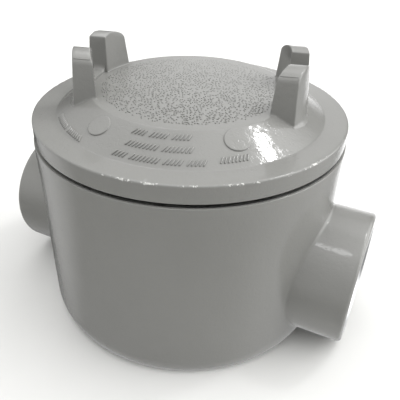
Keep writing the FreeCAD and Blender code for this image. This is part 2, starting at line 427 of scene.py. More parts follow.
# %% Body: sizes
body_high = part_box("body")[1]
cover_low, cover_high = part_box("cover")
body_radius = body_high.y
body_height = body_high.z
hub_reach = body_high.x
skirt_bottom = cover_low.z
pipe_radius = hub_mount["dims"]["r_mm"] * MM

base_draw_in = 2.6 * MM
base_draw_height = 9.1 * MM
cavity_radius = body_radius - 8.5 * MM
neck_radius = body_radius - 11.5 * MM
neck_bottom = skirt_bottom - 3.5 * MM
neck_chamfer = 1.2 * MM
mouth_edge = 0.3 * MM
bare_face_radius = body_radius - 1.2 * MM
floor_top = 8.0 * MM
floor_fillet = 10.0 * MM
hub_radius = pipe_radius + 8.3 * MM
hub_blend = 1.5 * MM
hub_edge = 2.0 * MM
mouth_chamfer = 1.5 * MM
pipe_stop = hub_reach - 22.0 * MM
bushing_radius = pipe_radius - 4.6 * MM
bushing_round = 2.5 * MM
lip_round = 1.2 * MM
print("wall radius", round(body_radius / MM, 2), "hub radius", round(hub_radius / MM, 2), "mm")

# %% [markdown]
# ## Body: wall
# The pot's wall is a cylinder that curves in near its base, laid as a grid of columns. Round each
# hub a rectangle is left out of that grid. Its border is walked like the sides of a square, eight
# half sides long, so that each of its points belongs to one column of the hub.

# %% Body: wall
wall_columns = 240
half_side = 24
hub_columns = 8 * half_side
hub_patch_angle = 2 * math.pi * half_side / wall_columns
hub_patch_height = 38.5 * MM


def draw_in(z):
    """How far the wall is drawn in at this height."""
    if z >= base_draw_height:
        return 0.0
    bend = (base_draw_height ** 2 + base_draw_in ** 2) / (2 * base_draw_in)
    return bend - math.sqrt(bend ** 2 - (base_draw_height - z) ** 2)


def outer_wall(angle, z):
    """Point of the pot's outside."""
    return round_z(body_radius - draw_in(z), angle, z)


def side_walk(t):
    """Place from -1 to 1 along a square whose walk is eight half sides long."""
    return max(-1.0, min(1.0, abs(t % 8 - 4) - 2))


def patch_border(k, half_height):
    """Angle and height of a border point of the rectangle round a hub."""
    t = k / half_side
    return hub_patch_angle * side_walk(t), hub_height + half_height * side_walk(t - 2)


print("wall is drawn in by", round(draw_in(0) / MM, 1), "mm at its foot")

# %% [markdown]
# ## Body: hub blend
# A hub meets the round wall in a saddle curve, and the casting has a fillet there. A boolean
# with a bevel breaks easily on such a curve, so the fillet is worked out: a ball of the fillet's
# radius that rolls along both cylinders keeps its centre at a known distance from both axes.
# Its two touching points bound the fillet, and the arc between them is its section. The wall
# round the hub is a patch whose rows go from the rectangle in the wall's grid to that curve.

# %% Body: hub blend
blend_steps, patch_steps = 8, 10


def blend_point(k, share):
    """Point of the hub's fillet: share 0 is on the hub and share 1 on the wall."""
    turn = 2 * math.pi * k / hub_columns
    y = (hub_radius + hub_blend) * math.cos(turn)
    z = hub_height + (hub_radius + hub_blend) * math.sin(turn)
    x = math.sqrt((body_radius + hub_blend) ** 2 - y ** 2)
    to_hub = Vector((0, -math.cos(turn), -math.sin(turn)))
    to_wall = Vector((-x, -y, 0)).normalized()
    point = Vector((x, y, z)) + hub_blend * to_hub.slerp(to_wall, share)
    shrink = 1 - share * draw_in(point.z) / body_radius
    return Vector((point.x * shrink, point.y * shrink, point.z))


def wall_to_hub_rows(border_height, middle_curve, wall, steps):
    """Rows on a wall from the rectangle round a hub to a closed curve in the middle."""
    rows = []
    for share in shares(steps):
        row = []
        for k, inner in enumerate(middle_curve):
            angle, z = patch_border(k, border_height)
            inner_angle = math.atan2(inner.y, inner.x)
            row.append(wall(angle + share * (inner_angle - angle), z + share * (inner.z - z)))
        rows.append(row)
    return rows


blend_rows = [[blend_point(k, 1 - share) for k in range(hub_columns)] for share in shares(blend_steps)]
outer_rows = wall_to_hub_rows(hub_patch_height, blend_rows[0], outer_wall, patch_steps)
print("hub fillet meets the wall up to", round(max(p.z for p in blend_rows[0]) / MM, 1), "mm high")

# %% [markdown]
# ## Body: hub and bore
# From the fillet the rows run along the hub, round its edge, across its end face and down the
# pipe-thread bore. They are made once, for the right hub, as rings round the hubs' axis.

# %% Body: hub and bore
barrel_steps, edge_steps, bore_steps = 6, 6, 8


def round_hub(radius, turn, along):
    """Point at a radius and a turn round the hubs' axis."""
    return Vector((along, radius * math.cos(turn), hub_height + radius * math.sin(turn)))


def hub_row(x, radius):
    """Ring of points round the hubs' axis; x may be one place or one for each point."""
    places = x if isinstance(x, list) else [x] * hub_columns
    return [round_hub(radius, 2 * math.pi * k / hub_columns, along) for k, along in enumerate(places)]


edge_start = hub_reach - hub_edge
barrel_rows = []
for share in shares(barrel_steps):
    barrel_rows.append(hub_row([p.x + share * (edge_start - p.x) for p in blend_rows[-1]], hub_radius))
for s, c in quarter(edge_steps):
    barrel_rows.append(hub_row(edge_start + hub_edge * s, hub_radius - hub_edge * (1 - c)))
bore_start = hub_reach - mouth_chamfer
bore_rows = [hub_row(hub_reach, pipe_radius + mouth_chamfer)]
bore_rows += [hub_row(bore_start + share * (pipe_stop - bore_start), pipe_radius)
              for share in shares(bore_steps)]
print("bore", round((bore_start - pipe_stop) / MM, 1), "mm deep behind its chamfer")

# %% [markdown]
# ## Body: bushing and both hubs
# The bore ends at a bushing, a rounded lip that keeps wires from the thread. The bushing opens
# into the chamber, where a second patch joins it to the inner wall. All the rows of a hub are
# then laid twice, the second time turned half round the box's axis.

# %% Body: bushing and both hubs
bushing_steps, chamber_steps = 5, 6
chamber_patch_height = 24 * MM
lip_section = ((0.0, 1.0), (0.3, 0.3), (1.0, 0.0))  # shares of its round, outward and along


def chamber_radius(z):
    """Radius of the chamber, which narrows in the fillet above the floor."""
    rise = max(0.0, floor_top + floor_fillet - z)
    return cavity_radius - floor_fillet + math.sqrt(floor_fillet ** 2 - rise ** 2)


def inner_wall(angle, z):
    """Point of the chamber's wall."""
    return round_z(chamber_radius(z), angle, z)


def chamber_x(radius):
    """Where the inner wall lies at each point of a ring round the hubs' axis."""
    return [math.sqrt(chamber_radius(p.z) ** 2 - p.y ** 2) for p in hub_row(0, radius)]


bushing_rows = [bore_rows[-1]]
for s, c in quarter(bushing_steps):
    round_start = pipe_stop - bushing_round * (1 - c)
    bushing_rows.append(hub_row(round_start, bushing_radius + bushing_round * (1 - s)))
for out, before in lip_section:
    radius = bushing_radius + out * lip_round
    bushing_rows.append(hub_row([x + before * lip_round for x in chamber_x(radius)], radius))
chamber_rows = wall_to_hub_rows(chamber_patch_height, bushing_rows[-1], inner_wall, chamber_steps)[::-1]


def on_side(point, side):
    """The point at the right hub (1), or turned half round to the left one (-1)."""
    return Vector((side * point.x, side * point.y, point.z))


casting_finishes = (enamel, turned_hub, turned_neck)
ENAMEL, TURNED_HUB, TURNED_NECK = 0, 1, 2
hub_patches = ((outer_rows + blend_rows[1:], ENAMEL), (barrel_rows + bore_rows[:1], ENAMEL),
               (bore_rows, TURNED_HUB), (bushing_rows, ENAMEL), (chamber_rows, ENAMEL))
body_skin = Skin()
for side in (1, -1):
    for rows, finish_number in hub_patches:
        body_skin.patch([[on_side(p, side) for p in row] for row in rows], finish_number)
print("two hubs of", hub_columns, "columns")

# %% [markdown]
# ## Body: pot
# Between the hubs the wall is a plain grid on the outside and on the inside, with the heights of
# the hub patches' borders. Below them whole rings close the chamber with its rounded floor.

# %% Body: pot
floor_steps = 6
columns_between = wall_columns // 2 - 2 * half_side


def wall_ring(radius, z):
    """Level circle with the columns of the wall's grid."""
    return ring(radius, z, wall_columns)


levels = [side_walk(1 + k / half_side) for k in range(2 * half_side + 1)]
for first in (half_side, half_side + wall_columns // 2):
    angles = [2 * math.pi * (first + k) / wall_columns for k in range(columns_between + 1)]
    for wall, half_height in ((outer_wall, hub_patch_height), (inner_wall, chamber_patch_height)):
        rows = [[wall(a, hub_height + half_height * level) for a in angles] for level in levels]
        body_skin.patch(rows, ENAMEL, closed=False)

fillet_start = math.asin((floor_top + floor_fillet - hub_height + chamber_patch_height) / floor_fillet)
floor_rows = []
for share in shares(floor_steps):
    a = fillet_start + share * (math.pi / 2 - fillet_start)
    floor_rows.append(wall_ring(cavity_radius - floor_fillet * (1 - math.cos(a)),
                                floor_top + floor_fillet * (1 - math.sin(a))))
for share in (0.6, 0.3, 0.0):
    floor_rows.append(wall_ring(share * (cavity_radius - floor_fillet), floor_top))
body_skin.patch(floor_rows, ENAMEL)
print("chamber", round(2 * cavity_radius / MM), "mm across")

# %% [markdown]
# ## Body: neck, mouth and base
# Above the hubs the rings go on to the narrower neck that takes the cover's thread, the sealing
# face and the outer mouth edge. The wall is made a little too long at the bottom, because the hub
# fillets run out below the base there. A plane cuts them off level, and the cut is filled.

# %% Body: neck, mouth and base
neck_steps, mouth_steps = 6, 4
chamber_patch_top = hub_height + chamber_patch_height
hub_patch_top = hub_height + hub_patch_height
neck_slope_bottom = neck_bottom - (cavity_radius - neck_radius)
neck_top = body_height - neck_chamfer
mouth_bottom = body_height - mouth_edge

upper_rows = [wall_ring(cavity_radius, chamber_patch_top), wall_ring(cavity_radius, neck_slope_bottom),
              wall_ring(neck_radius, neck_bottom)]
body_skin.patch(upper_rows, ENAMEL)
neck_rows = [wall_ring(neck_radius, neck_bottom + share * (neck_top - neck_bottom))
             for share in shares(neck_steps)]
neck_rows.append(wall_ring(neck_radius + neck_chamfer, body_height))
neck_rows.append(wall_ring(bare_face_radius, body_height))
body_skin.patch(neck_rows, TURNED_NECK)
mouth_rows = [neck_rows[-1]]
for s, c in quarter(mouth_steps):
    mouth_rows.append(wall_ring(body_radius - mouth_edge * (1 - s), body_height - mouth_edge * (1 - c)))
for share in shares(mouth_steps)[1:]:
    mouth_rows.append(wall_ring(body_radius, mouth_bottom + share * (hub_patch_top - mouth_bottom)))
body_skin.patch(mouth_rows, ENAMEL)

body_mesh = body_skin.mesh()
everything = body_mesh.verts[:] + body_mesh.edges[:] + body_mesh.faces[:]
cut = bmesh.ops.bisect_plane(body_mesh, geom=everything, plane_co=(0, 0, 0), plane_no=(0, 0, -1),
                             clear_outer=True)
base_outline = [e for e in cut["geom_cut"] if isinstance(e, bmesh.types.BMEdge)]
bmesh.ops.edgeloop_fill(body_mesh, edges=base_outline)
bmesh.ops.recalc_face_normals(body_mesh, faces=body_mesh.faces)
piece("body_casting", body_mesh, casting_finishes, "body", replaces="body")

# %% [markdown]
# ## Cover: sizes
# The cover is a second casting: a thick disc with a rim, a cone up to a raised plateau, four lugs
# for a bar and a threaded skirt below. It is turned a little from the hubs' line, because the
# cover stops where its thread runs out. The O-ring's CAD box gives the groove its size.

# %% Cover: sizes
lug_top = cover_high.z
slot_turn = math.radians(15.8)
cover_radius = body_radius - 0.5 * MM
rim_bottom = body_height + 1.7 * MM
rim_top = rim_bottom + 8.0 * MM
rim_edge = 0.8 * MM
rim_lower_edge = 0.5 * MM
band_radius = cover_radius - 10.6 * MM
plateau_radius = band_radius - 15.7 * MM
plateau_top = rim_top + 9.3 * MM
cone_slope = (plateau_top - rim_top) / (band_radius - plateau_radius)
crease_half = 0.4 * MM
cover_thickness = 8.5 * MM
skirt_radius = neck_radius - 1.5 * MM
skirt_inner = skirt_radius - 7.0 * MM
skirt_chamfer = 1.5 * MM
seal_low, seal_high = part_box("cover_o_ring")
seal_section = seal_high.z - seal_low.z
seal_radius = cover_radius - 6.5 * MM
groove_half = seal_section / 2 + 0.45 * MM
groove_roof = seal_high.z + 0.14 * MM
print("cone slope", round(math.degrees(math.atan(cone_slope)), 1), "degrees")

# %% [markdown]
# ## Cover: profile and knocks
# The plate is a lathe form: its top face is a height for each radius, with soft creases where the
# plateau meets the cone and the cone meets the flat band. The rim's upper edge is knocked here and
# there, so a noise takes small bites out of it. A knocked stretch is a heading and a half width in
# degrees.

# %% Cover: profile and knocks
knocked_stretches = ((-77, 12), (-50, 8), (-25, 13), (60, 30), (170, 25))
nick_width, fine_nick_width = 2.6 * MM, 0.9 * MM
fine_nick_share = 0.6
nick_start = 0.1
nick_depth = 0.5 * MM
least_knock = 0.15


def soft_ramp(distance):
    """Zero before a crease, the distance after it, and a short curve between."""
    if distance <= -crease_half:
        return 0.0
    if distance >= crease_half:
        return distance
    return (distance + crease_half) ** 2 / (4 * crease_half)


def plate_height(radius):
    """Height of the cover's top face, without lugs and relief."""
    fall = soft_ramp(radius - plateau_radius) - soft_ramp(radius - band_radius)
    return plateau_top - cone_slope * fall


def knocked_share(angle):
    """How hard the rim was knocked at this angle, from 0 to 1."""
    share = 0.0
    for middle, half in knocked_stretches:
        apart = abs((math.degrees(angle) - middle + 180) % 360 - 180)
        share = max(share, 1 - (apart / half) ** 2)
    return share


def rim_bite(angle):
    """Depth of the nicks in the rim's edge at this angle."""
    place = round_z(cover_radius, angle, 0)
    rough = noise.noise(place / nick_width) + fine_nick_share * noise.noise(place / fine_nick_width)
    return nick_depth * max(0.0, rough - nick_start) * max(least_knock, knocked_share(angle))


cone_middle = (plateau_radius + band_radius) / 2
print("cone is", round(plate_height(cone_middle) / MM, 1), "mm high in its middle")

# %% [markdown]
# ## Cover: top and rim
# The plate is laid as rings of points, from the middle of the plateau out over the rim. Rows lie
# close together only at the creases and edges. The rim's edge is bitten by the nicks, and its
# points carry the wear for the chips.

# %% Cover: top and rim
cover_columns = 720
cover_turns = [2 * math.pi * k / cover_columns for k in range(cover_columns)]
edge_wear, knock_wear = 0.86, 0.16
edge_margin = 0.8 * MM
edge_inner = cover_radius - rim_edge
rim_edge_steps, lower_edge_steps = 5, 3
rim_middle = rim_bottom + 4 * MM


def plate_ring(radius, z=None, bitten=False):
    """Ring of the cover; with no height given it lies on the top face."""
    height = plate_height(radius) if z is None else z
    nicks = [rim_bite(turn) if bitten else 0.0 for turn in cover_turns]
    return [round_z(radius - nick, turn, height - nick) for turn, nick in zip(cover_turns, nicks)]


crease_steps = (-1, -0.5, 0, 0.5, 1)
top_radii = [r * MM for r in (0, 12, 24, 36)]
top_radii += [plateau_radius + step * crease_half for step in crease_steps]
top_radii += [plateau_radius + r * MM for r in (5, 10)]
top_radii += [band_radius + step * crease_half for step in crease_steps]
top_radii += [band_radius + r * MM for r in (3, 6)]
top_rows = [plate_ring(r) for r in top_radii]
edge_rows = [plate_ring(edge_inner + rim_edge * s, rim_top - rim_edge * (1 - c), bitten=True)
             for s, c in quarter(rim_edge_steps)]
rim_rows = [edge_rows[-1], plate_ring(cover_radius, rim_top - rim_edge - edge_margin),
            plate_ring(cover_radius, rim_middle)]
rim_rows += [plate_ring(cover_radius - rim_lower_edge * (1 - c), rim_bottom + rim_lower_edge * (1 - s))
             for s, c in quarter(lower_edge_steps)]
band_end = plate_ring(edge_inner - edge_margin, rim_top)
worn_edge = [edge_wear + knock_wear * knocked_share(turn) for turn in cover_turns]

cover_skin = Skin()
cover_skin.patch(top_rows, ENAMEL)
cover_skin.patch([top_rows[-1], band_end, edge_rows[0]], ENAMEL)
cover_skin.patch(edge_rows, ENAMEL, wear=worn_edge)
cover_skin.patch(rim_rows, ENAMEL)
print("deepest nick", round(max(rim_bite(t) for t in cover_turns) / MM, 2), "mm")

# %% [markdown]
# ## Cover: seat, skirt and underside
# Under the rim the rings go on through the O-ring's groove and down the skirt, which are turned
# bare. Inside the skirt the plate is a shell of even thickness, so its underside follows the cone
# and the plateau.

# %% Cover: seat, skirt and underside
under_top = plateau_top - cover_thickness
under_rim = rim_top - cover_thickness
under_radius = skirt_inner - (under_top - under_rim) / cone_slope
groove_outer = seal_radius + groove_half
groove_inner = seal_radius - groove_half
seat_outline = ((groove_outer, rim_bottom), (groove_outer, groove_roof), (groove_inner, groove_roof),
                (groove_inner, rim_bottom), (skirt_radius, rim_bottom),
                (skirt_radius, skirt_bottom + skirt_chamfer),
                (skirt_radius - skirt_chamfer, skirt_bottom), (skirt_inner, skirt_bottom))
under_outline = ((skirt_inner, skirt_bottom), (skirt_inner, under_rim), (under_radius, under_top),
                 (0.5 * under_radius, under_top), (0.0, under_top))

seat_rows = [plate_ring(radius, z) for radius, z in seat_outline]
cover_skin.patch([rim_rows[-1], seat_rows[0]], ENAMEL)
cover_skin.patch(seat_rows, TURNED_NECK)
cover_skin.patch([plate_ring(radius, z) for radius, z in under_outline], ENAMEL)
cover_mesh = cover_skin.mesh()
print("cover plate has", len(cover_mesh.verts), "points")

# %% [markdown]
# ## Cover: outline of a lug
# The four lugs are pieces of one ring wall, left standing on both sides of the slot. A lug is
# flat towards the slot, where the bar pushes, arched on top, and drafted on its far side so that
# the casting leaves its mould. Its columns run along the wall, v from the slot, and each has its
# own height at the top.

# %% Cover: outline of a lug
lug_inner = plateau_radius - 2.0 * MM
lug_outer = lug_inner + 7.7 * MM
lug_flare = 1.6 / 18.3  # growth over the height of its outer face
lug_near = 8.7 * MM
lug_far = lug_near + 15.8 * MM
lug_flat = 4.0 * MM
lug_tilt = 1.2 * MM
lug_drop = 4.8 * MM
lug_draft = math.tan(math.radians(8.0))
flat_steps, arch_steps = 3, 8

shoulder = lug_top - lug_drop
arch_end = lug_far - lug_draft * (shoulder - plateau_top)
arch_length = arch_end - lug_near - lug_flat
lug_columns = [(lug_near + share * lug_flat, lug_top - lug_tilt * (1 - share))
               for share in shares(flat_steps)[:-1]]
lug_columns += [(lug_near + lug_flat + s * arch_length, lug_top - lug_drop * (1 - c))
                for s, c in quarter(arch_steps)]
print("lug stands", round((lug_top - plateau_top) / MM, 1), "mm above the plateau")

# %% [markdown]
# ## Cover: shape of a lug
# A lug is a block of points bent to the ring. The lowest rows follow the plate below them and
# spread out in a quarter round, small at the ends and large on the outside, which is the cast
# fillet with its web. A bevel rounds the other edges.

# %% Cover: shape of a lug
lug_foot_round = 0.5 * MM
lug_web = 1.8 * MM
web_growth = 3  # full size a third of the way in from each end
lug_edge = 0.5 * MM
bevelled_from = math.radians(40)
wall_steps, upper_steps = 5, 6
foot_levels = [level * MM for level in (-1.0, 0.0, 0.05, 0.2, 0.5, 1.0, 1.8, 3.0)]


def spread(climb, size):
    """How far a quarter-round fillet of this size stands out at a height above its foot."""
    left = min(size, max(0.0, size - climb))
    return size - math.sqrt(size ** 2 - left ** 2)


def lug_wall(share, z):
    """Radius in the ring wall: share 0 is its inner face and share 1 its drafted outer face."""
    return lug_inner + share * (lug_outer + lug_flare * (lug_top - z) - lug_inner)


def lug_point(column, rise, wall):
    """Point of a lug: which column along it, how high and how far through the wall."""
    share, depth = column / (len(lug_columns) - 1), wall / wall_steps
    top_v, top_z = lug_columns[column]
    ground = plate_height(lug_wall(depth, plateau_top))
    step = rise - len(foot_levels) + 1
    if step <= 0:
        z = ground + foot_levels[rise]
    else:
        z = ground + foot_levels[-1] + step / upper_steps * (top_z - ground - foot_levels[-1])
    foot_v = lug_near + share * (lug_far - lug_near)
    v = foot_v + (z - plateau_top) / (top_z - plateau_top) * (top_v - foot_v)
    radius = lug_wall(depth, z)
    if share == 1:
        v += spread(z - ground, lug_foot_round)
    if depth == 0:
        radius -= spread(z - ground, lug_foot_round)
    if depth == 1:
        web_share = min(1, web_growth * share, web_growth * (1 - share))
        out = spread(z - ground, lug_foot_round + web_share * (lug_web - lug_foot_round))
        radius += out
        z -= cone_slope * out
    return Vector((math.sqrt(radius ** 2 - v ** 2), v, z))


def lug_mesh():
    """One lug as a closed block with rounded edges."""
    columns, walls = range(len(lug_columns)), range(wall_steps + 1)
    rises = range(len(foot_levels) + upper_steps)
    skin = Skin()
    for wall in (walls[0], walls[-1]):
        skin.patch([[lug_point(c, r, wall) for c in columns] for r in rises], closed=False)
    for column in (columns[0], columns[-1]):
        skin.patch([[lug_point(column, r, w) for w in walls] for r in rises], closed=False)
    for rise in (rises[0], rises[-1]):
        skin.patch([[lug_point(c, rise, w) for w in walls] for c in columns], closed=False)
    work = skin.mesh()
    edges = [e for e in work.edges if e.calc_face_angle(0) > bevelled_from]
    bmesh.ops.bevel(work, geom=edges, offset=lug_edge, segments=3, profile=0.5, affect="EDGES")
    return work


print("lug has", len(lug_columns), "columns and", len(foot_levels) + upper_steps, "rows")

# %% [markdown]
# ## Cover: slot pads and the four corners
# Between two lugs lies a low pad that carries the bar, with fillets up to both lugs. Half a pad is
# made as sections from the middle of the slot into one lug, closer together where the fillet
# rises. A lug and its half pad are then joined to the plate at the four corners of the slot, as
# mirror images of each other. The two halves of a pad merge in the middle, and their open ends,
# which lie inside the lugs, are filled.

# %% Cover: slot pads and the four corners
pad_top = plateau_top + 1.2 * MM
pad_foot = rim_top + 2 * MM
pad_inner = plateau_radius - 0.7 * MM
pad_outer = lug_outer - 1.0 * MM
pad_edge = 0.5 * MM
pad_edge_steps = 3
pad_fillet = 2.5 * MM
before_lug = (lug_near, pad_fillet, 1.6 * MM, 0.9 * MM, 0.4 * MM, 0.1 * MM, 0.0, -1.0 * MM)


def pad_mesh():
    """Half of the slot's pad, from the middle of the slot into one lug."""
    rows = []
    for v in [lug_near - distance for distance in before_lug]:
        top = pad_top + spread(lug_near - v, pad_fillet)
        edge = [(pad_edge * (1 - s), pad_edge * (1 - c)) for s, c in quarter(pad_edge_steps)]
        section = [(pad_inner, pad_foot)]
        section += [(pad_inner + inset, top - drop) for drop, inset in edge]
        section += [(pad_outer - inset, top - drop) for inset, drop in edge]
        section.append((pad_outer, pad_foot))
        rows.append([Vector((math.sqrt(r ** 2 - v ** 2), v, z)) for r, z in section])
    skin = Skin()
    skin.patch(rows)
    return skin.mesh()


def join_to_cover(made, across, along):
    """Mirror a mesh to one corner of the slot, turn it with the slot and join it to the cover."""
    for vertex in made.verts:
        u, v, z = across * vertex.co.x, along * vertex.co.y, vertex.co.z
        vertex.co = (u * math.cos(slot_turn) - v * math.sin(slot_turn),
                     u * math.sin(slot_turn) + v * math.cos(slot_turn), z)
    joined = bpy.data.meshes.new("joined")
    made.to_mesh(joined)
    made.free()
    cover_mesh.from_mesh(joined)
    bpy.data.meshes.remove(joined)


slot_corners = [(across, along) for across in (1, -1) for along in (1, -1)]
for across, along in slot_corners:
    join_to_cover(lug_mesh(), across, along)
    join_to_cover(pad_mesh(), across, along)
bmesh.ops.remove_doubles(cover_mesh, verts=cover_mesh.verts, dist=merge_distance)
bmesh.ops.holes_fill(cover_mesh, edges=[e for e in cover_mesh.edges if e.is_boundary], sides=12)
bmesh.ops.recalc_face_normals(cover_mesh, faces=cover_mesh.faces)
piece("cover_casting", cover_mesh, casting_finishes, "cover", replaces="cover")

# %% [markdown]
# ## Cover: relief on the plateau
# The cover of such a box is cast with raised relief all over its plateau and on the front of its
# cone. Here it is generic. A raised bar is a low block that narrows towards its top, as anything
# does that has to leave a sand mould. Small ones cover the plateau in rows along the slot, with
# random lengths, gaps and directions. They left their mould less sharp towards the back, so they
# are lower there.

# %% Cover: relief on the plateau
bar_section = ((1.0, -0.3), (0.9, 0.45), (0.65, 0.88), (0.3, 1.0))  # shares of width and height
bar_outline = ((-1, -0.5), (-1, 0.5), (-0.85, 1), (0.85, 1),
               (1, 0.5), (1, -0.5), (0.85, -1), (-0.85, -1))
relief = Skin()


def raised_bar(middle, lengthwise, up, length, width, height):
    """Low block with drafted sides on a face with this upward direction."""
    sideways = up.cross(lengthwise).normalized()
    rows = []
    for share, rise in bar_section:
        half_long = (length - width * (1 - share)) / 2
        half_wide = share * width / 2
        rows.append([middle + a * half_long * lengthwise + b * half_wide * sideways + rise * height * up
                     for a, b in bar_outline])
    relief.patch(rows)
    relief.cap(rows[-1])
    relief.cap(rows[0], turn=-1)


slot_way = Vector((math.cos(slot_turn), math.sin(slot_turn), 0))
cross_way = Vector((-math.sin(slot_turn), math.cos(slot_turn), 0))
straight_up = Vector((0, 0, 1))
chance = random.Random(7)
row_pitch = 1.7 * MM
rows_each_side = 24
relief_reach = lug_inner - 3.0 * MM
back_height, front_height = 0.08 * MM, 0.4 * MM
small_bar_width = 0.5 * MM
filled_share = 0.78
first_gaps, bar_gaps = (0.2, 1.5), (0.1, 1.0)  # least and most, in millimetres
small_bar_lengths, row_offsets = (0.5, 1.2), (-0.5, 0.5)

for i in range(-rows_each_side, rows_each_side + 1):
    across = i * row_pitch
    half = math.sqrt(max(0.0, relief_reach ** 2 - across ** 2))
    along = -half + chance.uniform(*first_gaps) * MM
    while along < half:
        length = chance.uniform(*small_bar_lengths) * MM
        if chance.random() < filled_share:
            middle = along * slot_way + (across + chance.uniform(*row_offsets) * MM) * cross_way
            turn = chance.uniform(0, math.pi)
            way = math.cos(turn) * slot_way + math.sin(turn) * cross_way
            share = 0.5 - 0.5 * middle.y / relief_reach
            height = back_height + share * (front_height - back_height)
            raised_bar(middle + plateau_top * straight_up, way, straight_up, length,
                       small_bar_width, height)
        along += length + chance.uniform(*bar_gaps) * MM
print("plateau relief has", len(relief.faces), "faces")

# %% [markdown]
# ## Cover: relief on the cone
# Rows of plain slanted bars stand on the front of the cone, in groups of four to nine, and two
# oval pads beside them. A row is a radius, its first and last heading and a slant in degrees. A pad
# is a radius, a heading and half its length, laid as rings on the cone, so it follows its curve.

# %% Cover: relief on the cone
cone_relief = 0.5 * MM
cone_rows = ((49.7 * MM, -90, -64, 28), (54.6 * MM, -90, -57, 28), (59.4 * MM, -93, -58, 28),
             (58.8 * MM, -52, -41, 28), (60.2 * MM, -136, -111, -28))
bar_pitch = 1.5 * MM
bar_length, bar_width = 3.2 * MM, 0.8 * MM
shortest_group, longest_group = 4, 9


def on_cone(radius, degrees):
    """Place and upward direction on the cone."""
    angle = math.radians(degrees)
    outward = round_z(1, angle, 0)
    place = radius * outward + plate_height(radius) * straight_up
    return place, (cone_slope * outward + straight_up).normalized()


for radius, first, last, slant in cone_rows:
    slant = math.radians(slant)
    degrees, pitch = first, math.degrees(bar_pitch / radius)
    while degrees + (shortest_group - 1) * pitch <= last:
        room = int((last - degrees) / pitch) + 1
        for _ in range(min(chance.randint(shortest_group, longest_group), room)):
            middle, up = on_cone(radius, degrees)
            angle = math.radians(degrees)
            around = Vector((-math.sin(angle), math.cos(angle), 0))
            down = around.cross(up)
            way = math.cos(slant) * down - math.sin(slant) * around
            raised_bar(middle, way, up, bar_length, bar_width, cone_relief)
            degrees += pitch
        degrees += pitch

oval_places = ((52.5 * MM, -108.7, 5.2 * MM), (51.6 * MM, -43.2, 5.4 * MM))
oval_section = ((0.0, -0.5), (1.04, -0.5), (1.02, 0.7), (0.97, 1.0), (0.9, 1.0), (0.5, 1.0), (0.0, 1.0))
oval_squash = 0.82
oval_columns = 48
for radius, degrees, size in oval_places:
    rows = []
    for share, rise in oval_section:
        row = []
        for k in range(oval_columns):
            t = 2 * math.pi * k / oval_columns
            sideways = math.degrees(share * size * math.sin(t) / radius)
            place, up = on_cone(radius + oval_squash * share * size * math.cos(t), degrees + sideways)
            row.append(place + rise * cone_relief * up)
        rows.append(row)
    relief.patch(rows)
print("with the cone's,", len(relief.faces), "faces")

# %% [markdown]
# ## Cover: parting bars
# The two halves of the mould meet over the lugs, and the metal that ran into that gap is left as a
# low bar across each lug's arch. It is one more raised bar, square to the arch at that place.

# %% Cover: parting bars
parting = math.radians(60)
parting_length, parting_width, parting_height = 7.6 * MM, 0.7 * MM, 0.22 * MM
parting_v = lug_near + lug_flat + arch_length * math.sin(parting)
parting_z = lug_top - lug_drop * (1 - math.cos(parting))
parting_u = math.sqrt(((lug_inner + lug_outer) / 2) ** 2 - parting_v ** 2)
for across, along in slot_corners:
    middle = across * parting_u * slot_way + along * parting_v * cross_way + parting_z * straight_up
    up = along * lug_drop * math.sin(parting) * cross_way + arch_length * math.cos(parting) * straight_up
    raised_bar(middle, slot_way, up.normalized(), parting_length, parting_width, parting_height)
piece("cover_relief", relief.mesh(), [enamel], "cover", sharp=60)

# %% [markdown]
# ## Threads
# The cover's thread has a pitch of 3.175 mm, and the hubs have a pipe thread of 11.5 turns to the
# inch. A thread is a ridge wound on a cylinder: one small section, swept along a helix, that
# runs out to nothing at both ends. The cover's ridge and the neck's lie half a pitch apart, so
# they mesh, and they stay so when the cover turns, because the record couples its lift to its
# turn by the same pitch.

# %% Threads
steps_per_turn = 96
run_out_rate = 3  # full height a third of a turn from each end
coupling = frame["record"]["behaviour"]["couplings"][0]["ratio"]
cover_pitch = 2 * math.pi * coupling
pipe_pitch = 25.4 / 11.5 * MM
cover_depth = 1.25 * MM
pipe_depth = 1.2 * MM


def thread(name, root, height, pitch, first, last, place, material, body, phase=0.0):
    """Ridge on a cylinder, outward or inward by the sign of its height."""
    half_root, half_tip, sunk = 0.36 * pitch, 0.08 * pitch, -0.12
    section = ((-half_root, sunk), (-half_root, 0.0), (-half_tip, 1.0), (half_tip, 1.0),
               (half_root, 0.0), (half_root, sunk))
    steps = int((last - first) / pitch * steps_per_turn)
    rows = []
    for i in range(steps + 1):
        turn = 2 * math.pi * i / steps_per_turn
        axial = first + pitch * i / steps_per_turn
        run_out = min(1.0, run_out_rate * min(i, steps - i) / steps_per_turn)
        row = []
        for off, share in section:
            stands_out = share * height * (run_out if share > 0 else 1)
            row.append(place(root + stands_out, turn + phase, axial + off))
        rows.append(row)
    skin = Skin()
    skin.patch(rows)
    skin.cap(rows[0])
    skin.cap(rows[-1])
    piece(name, skin.mesh(), [material], body, sharp=30)


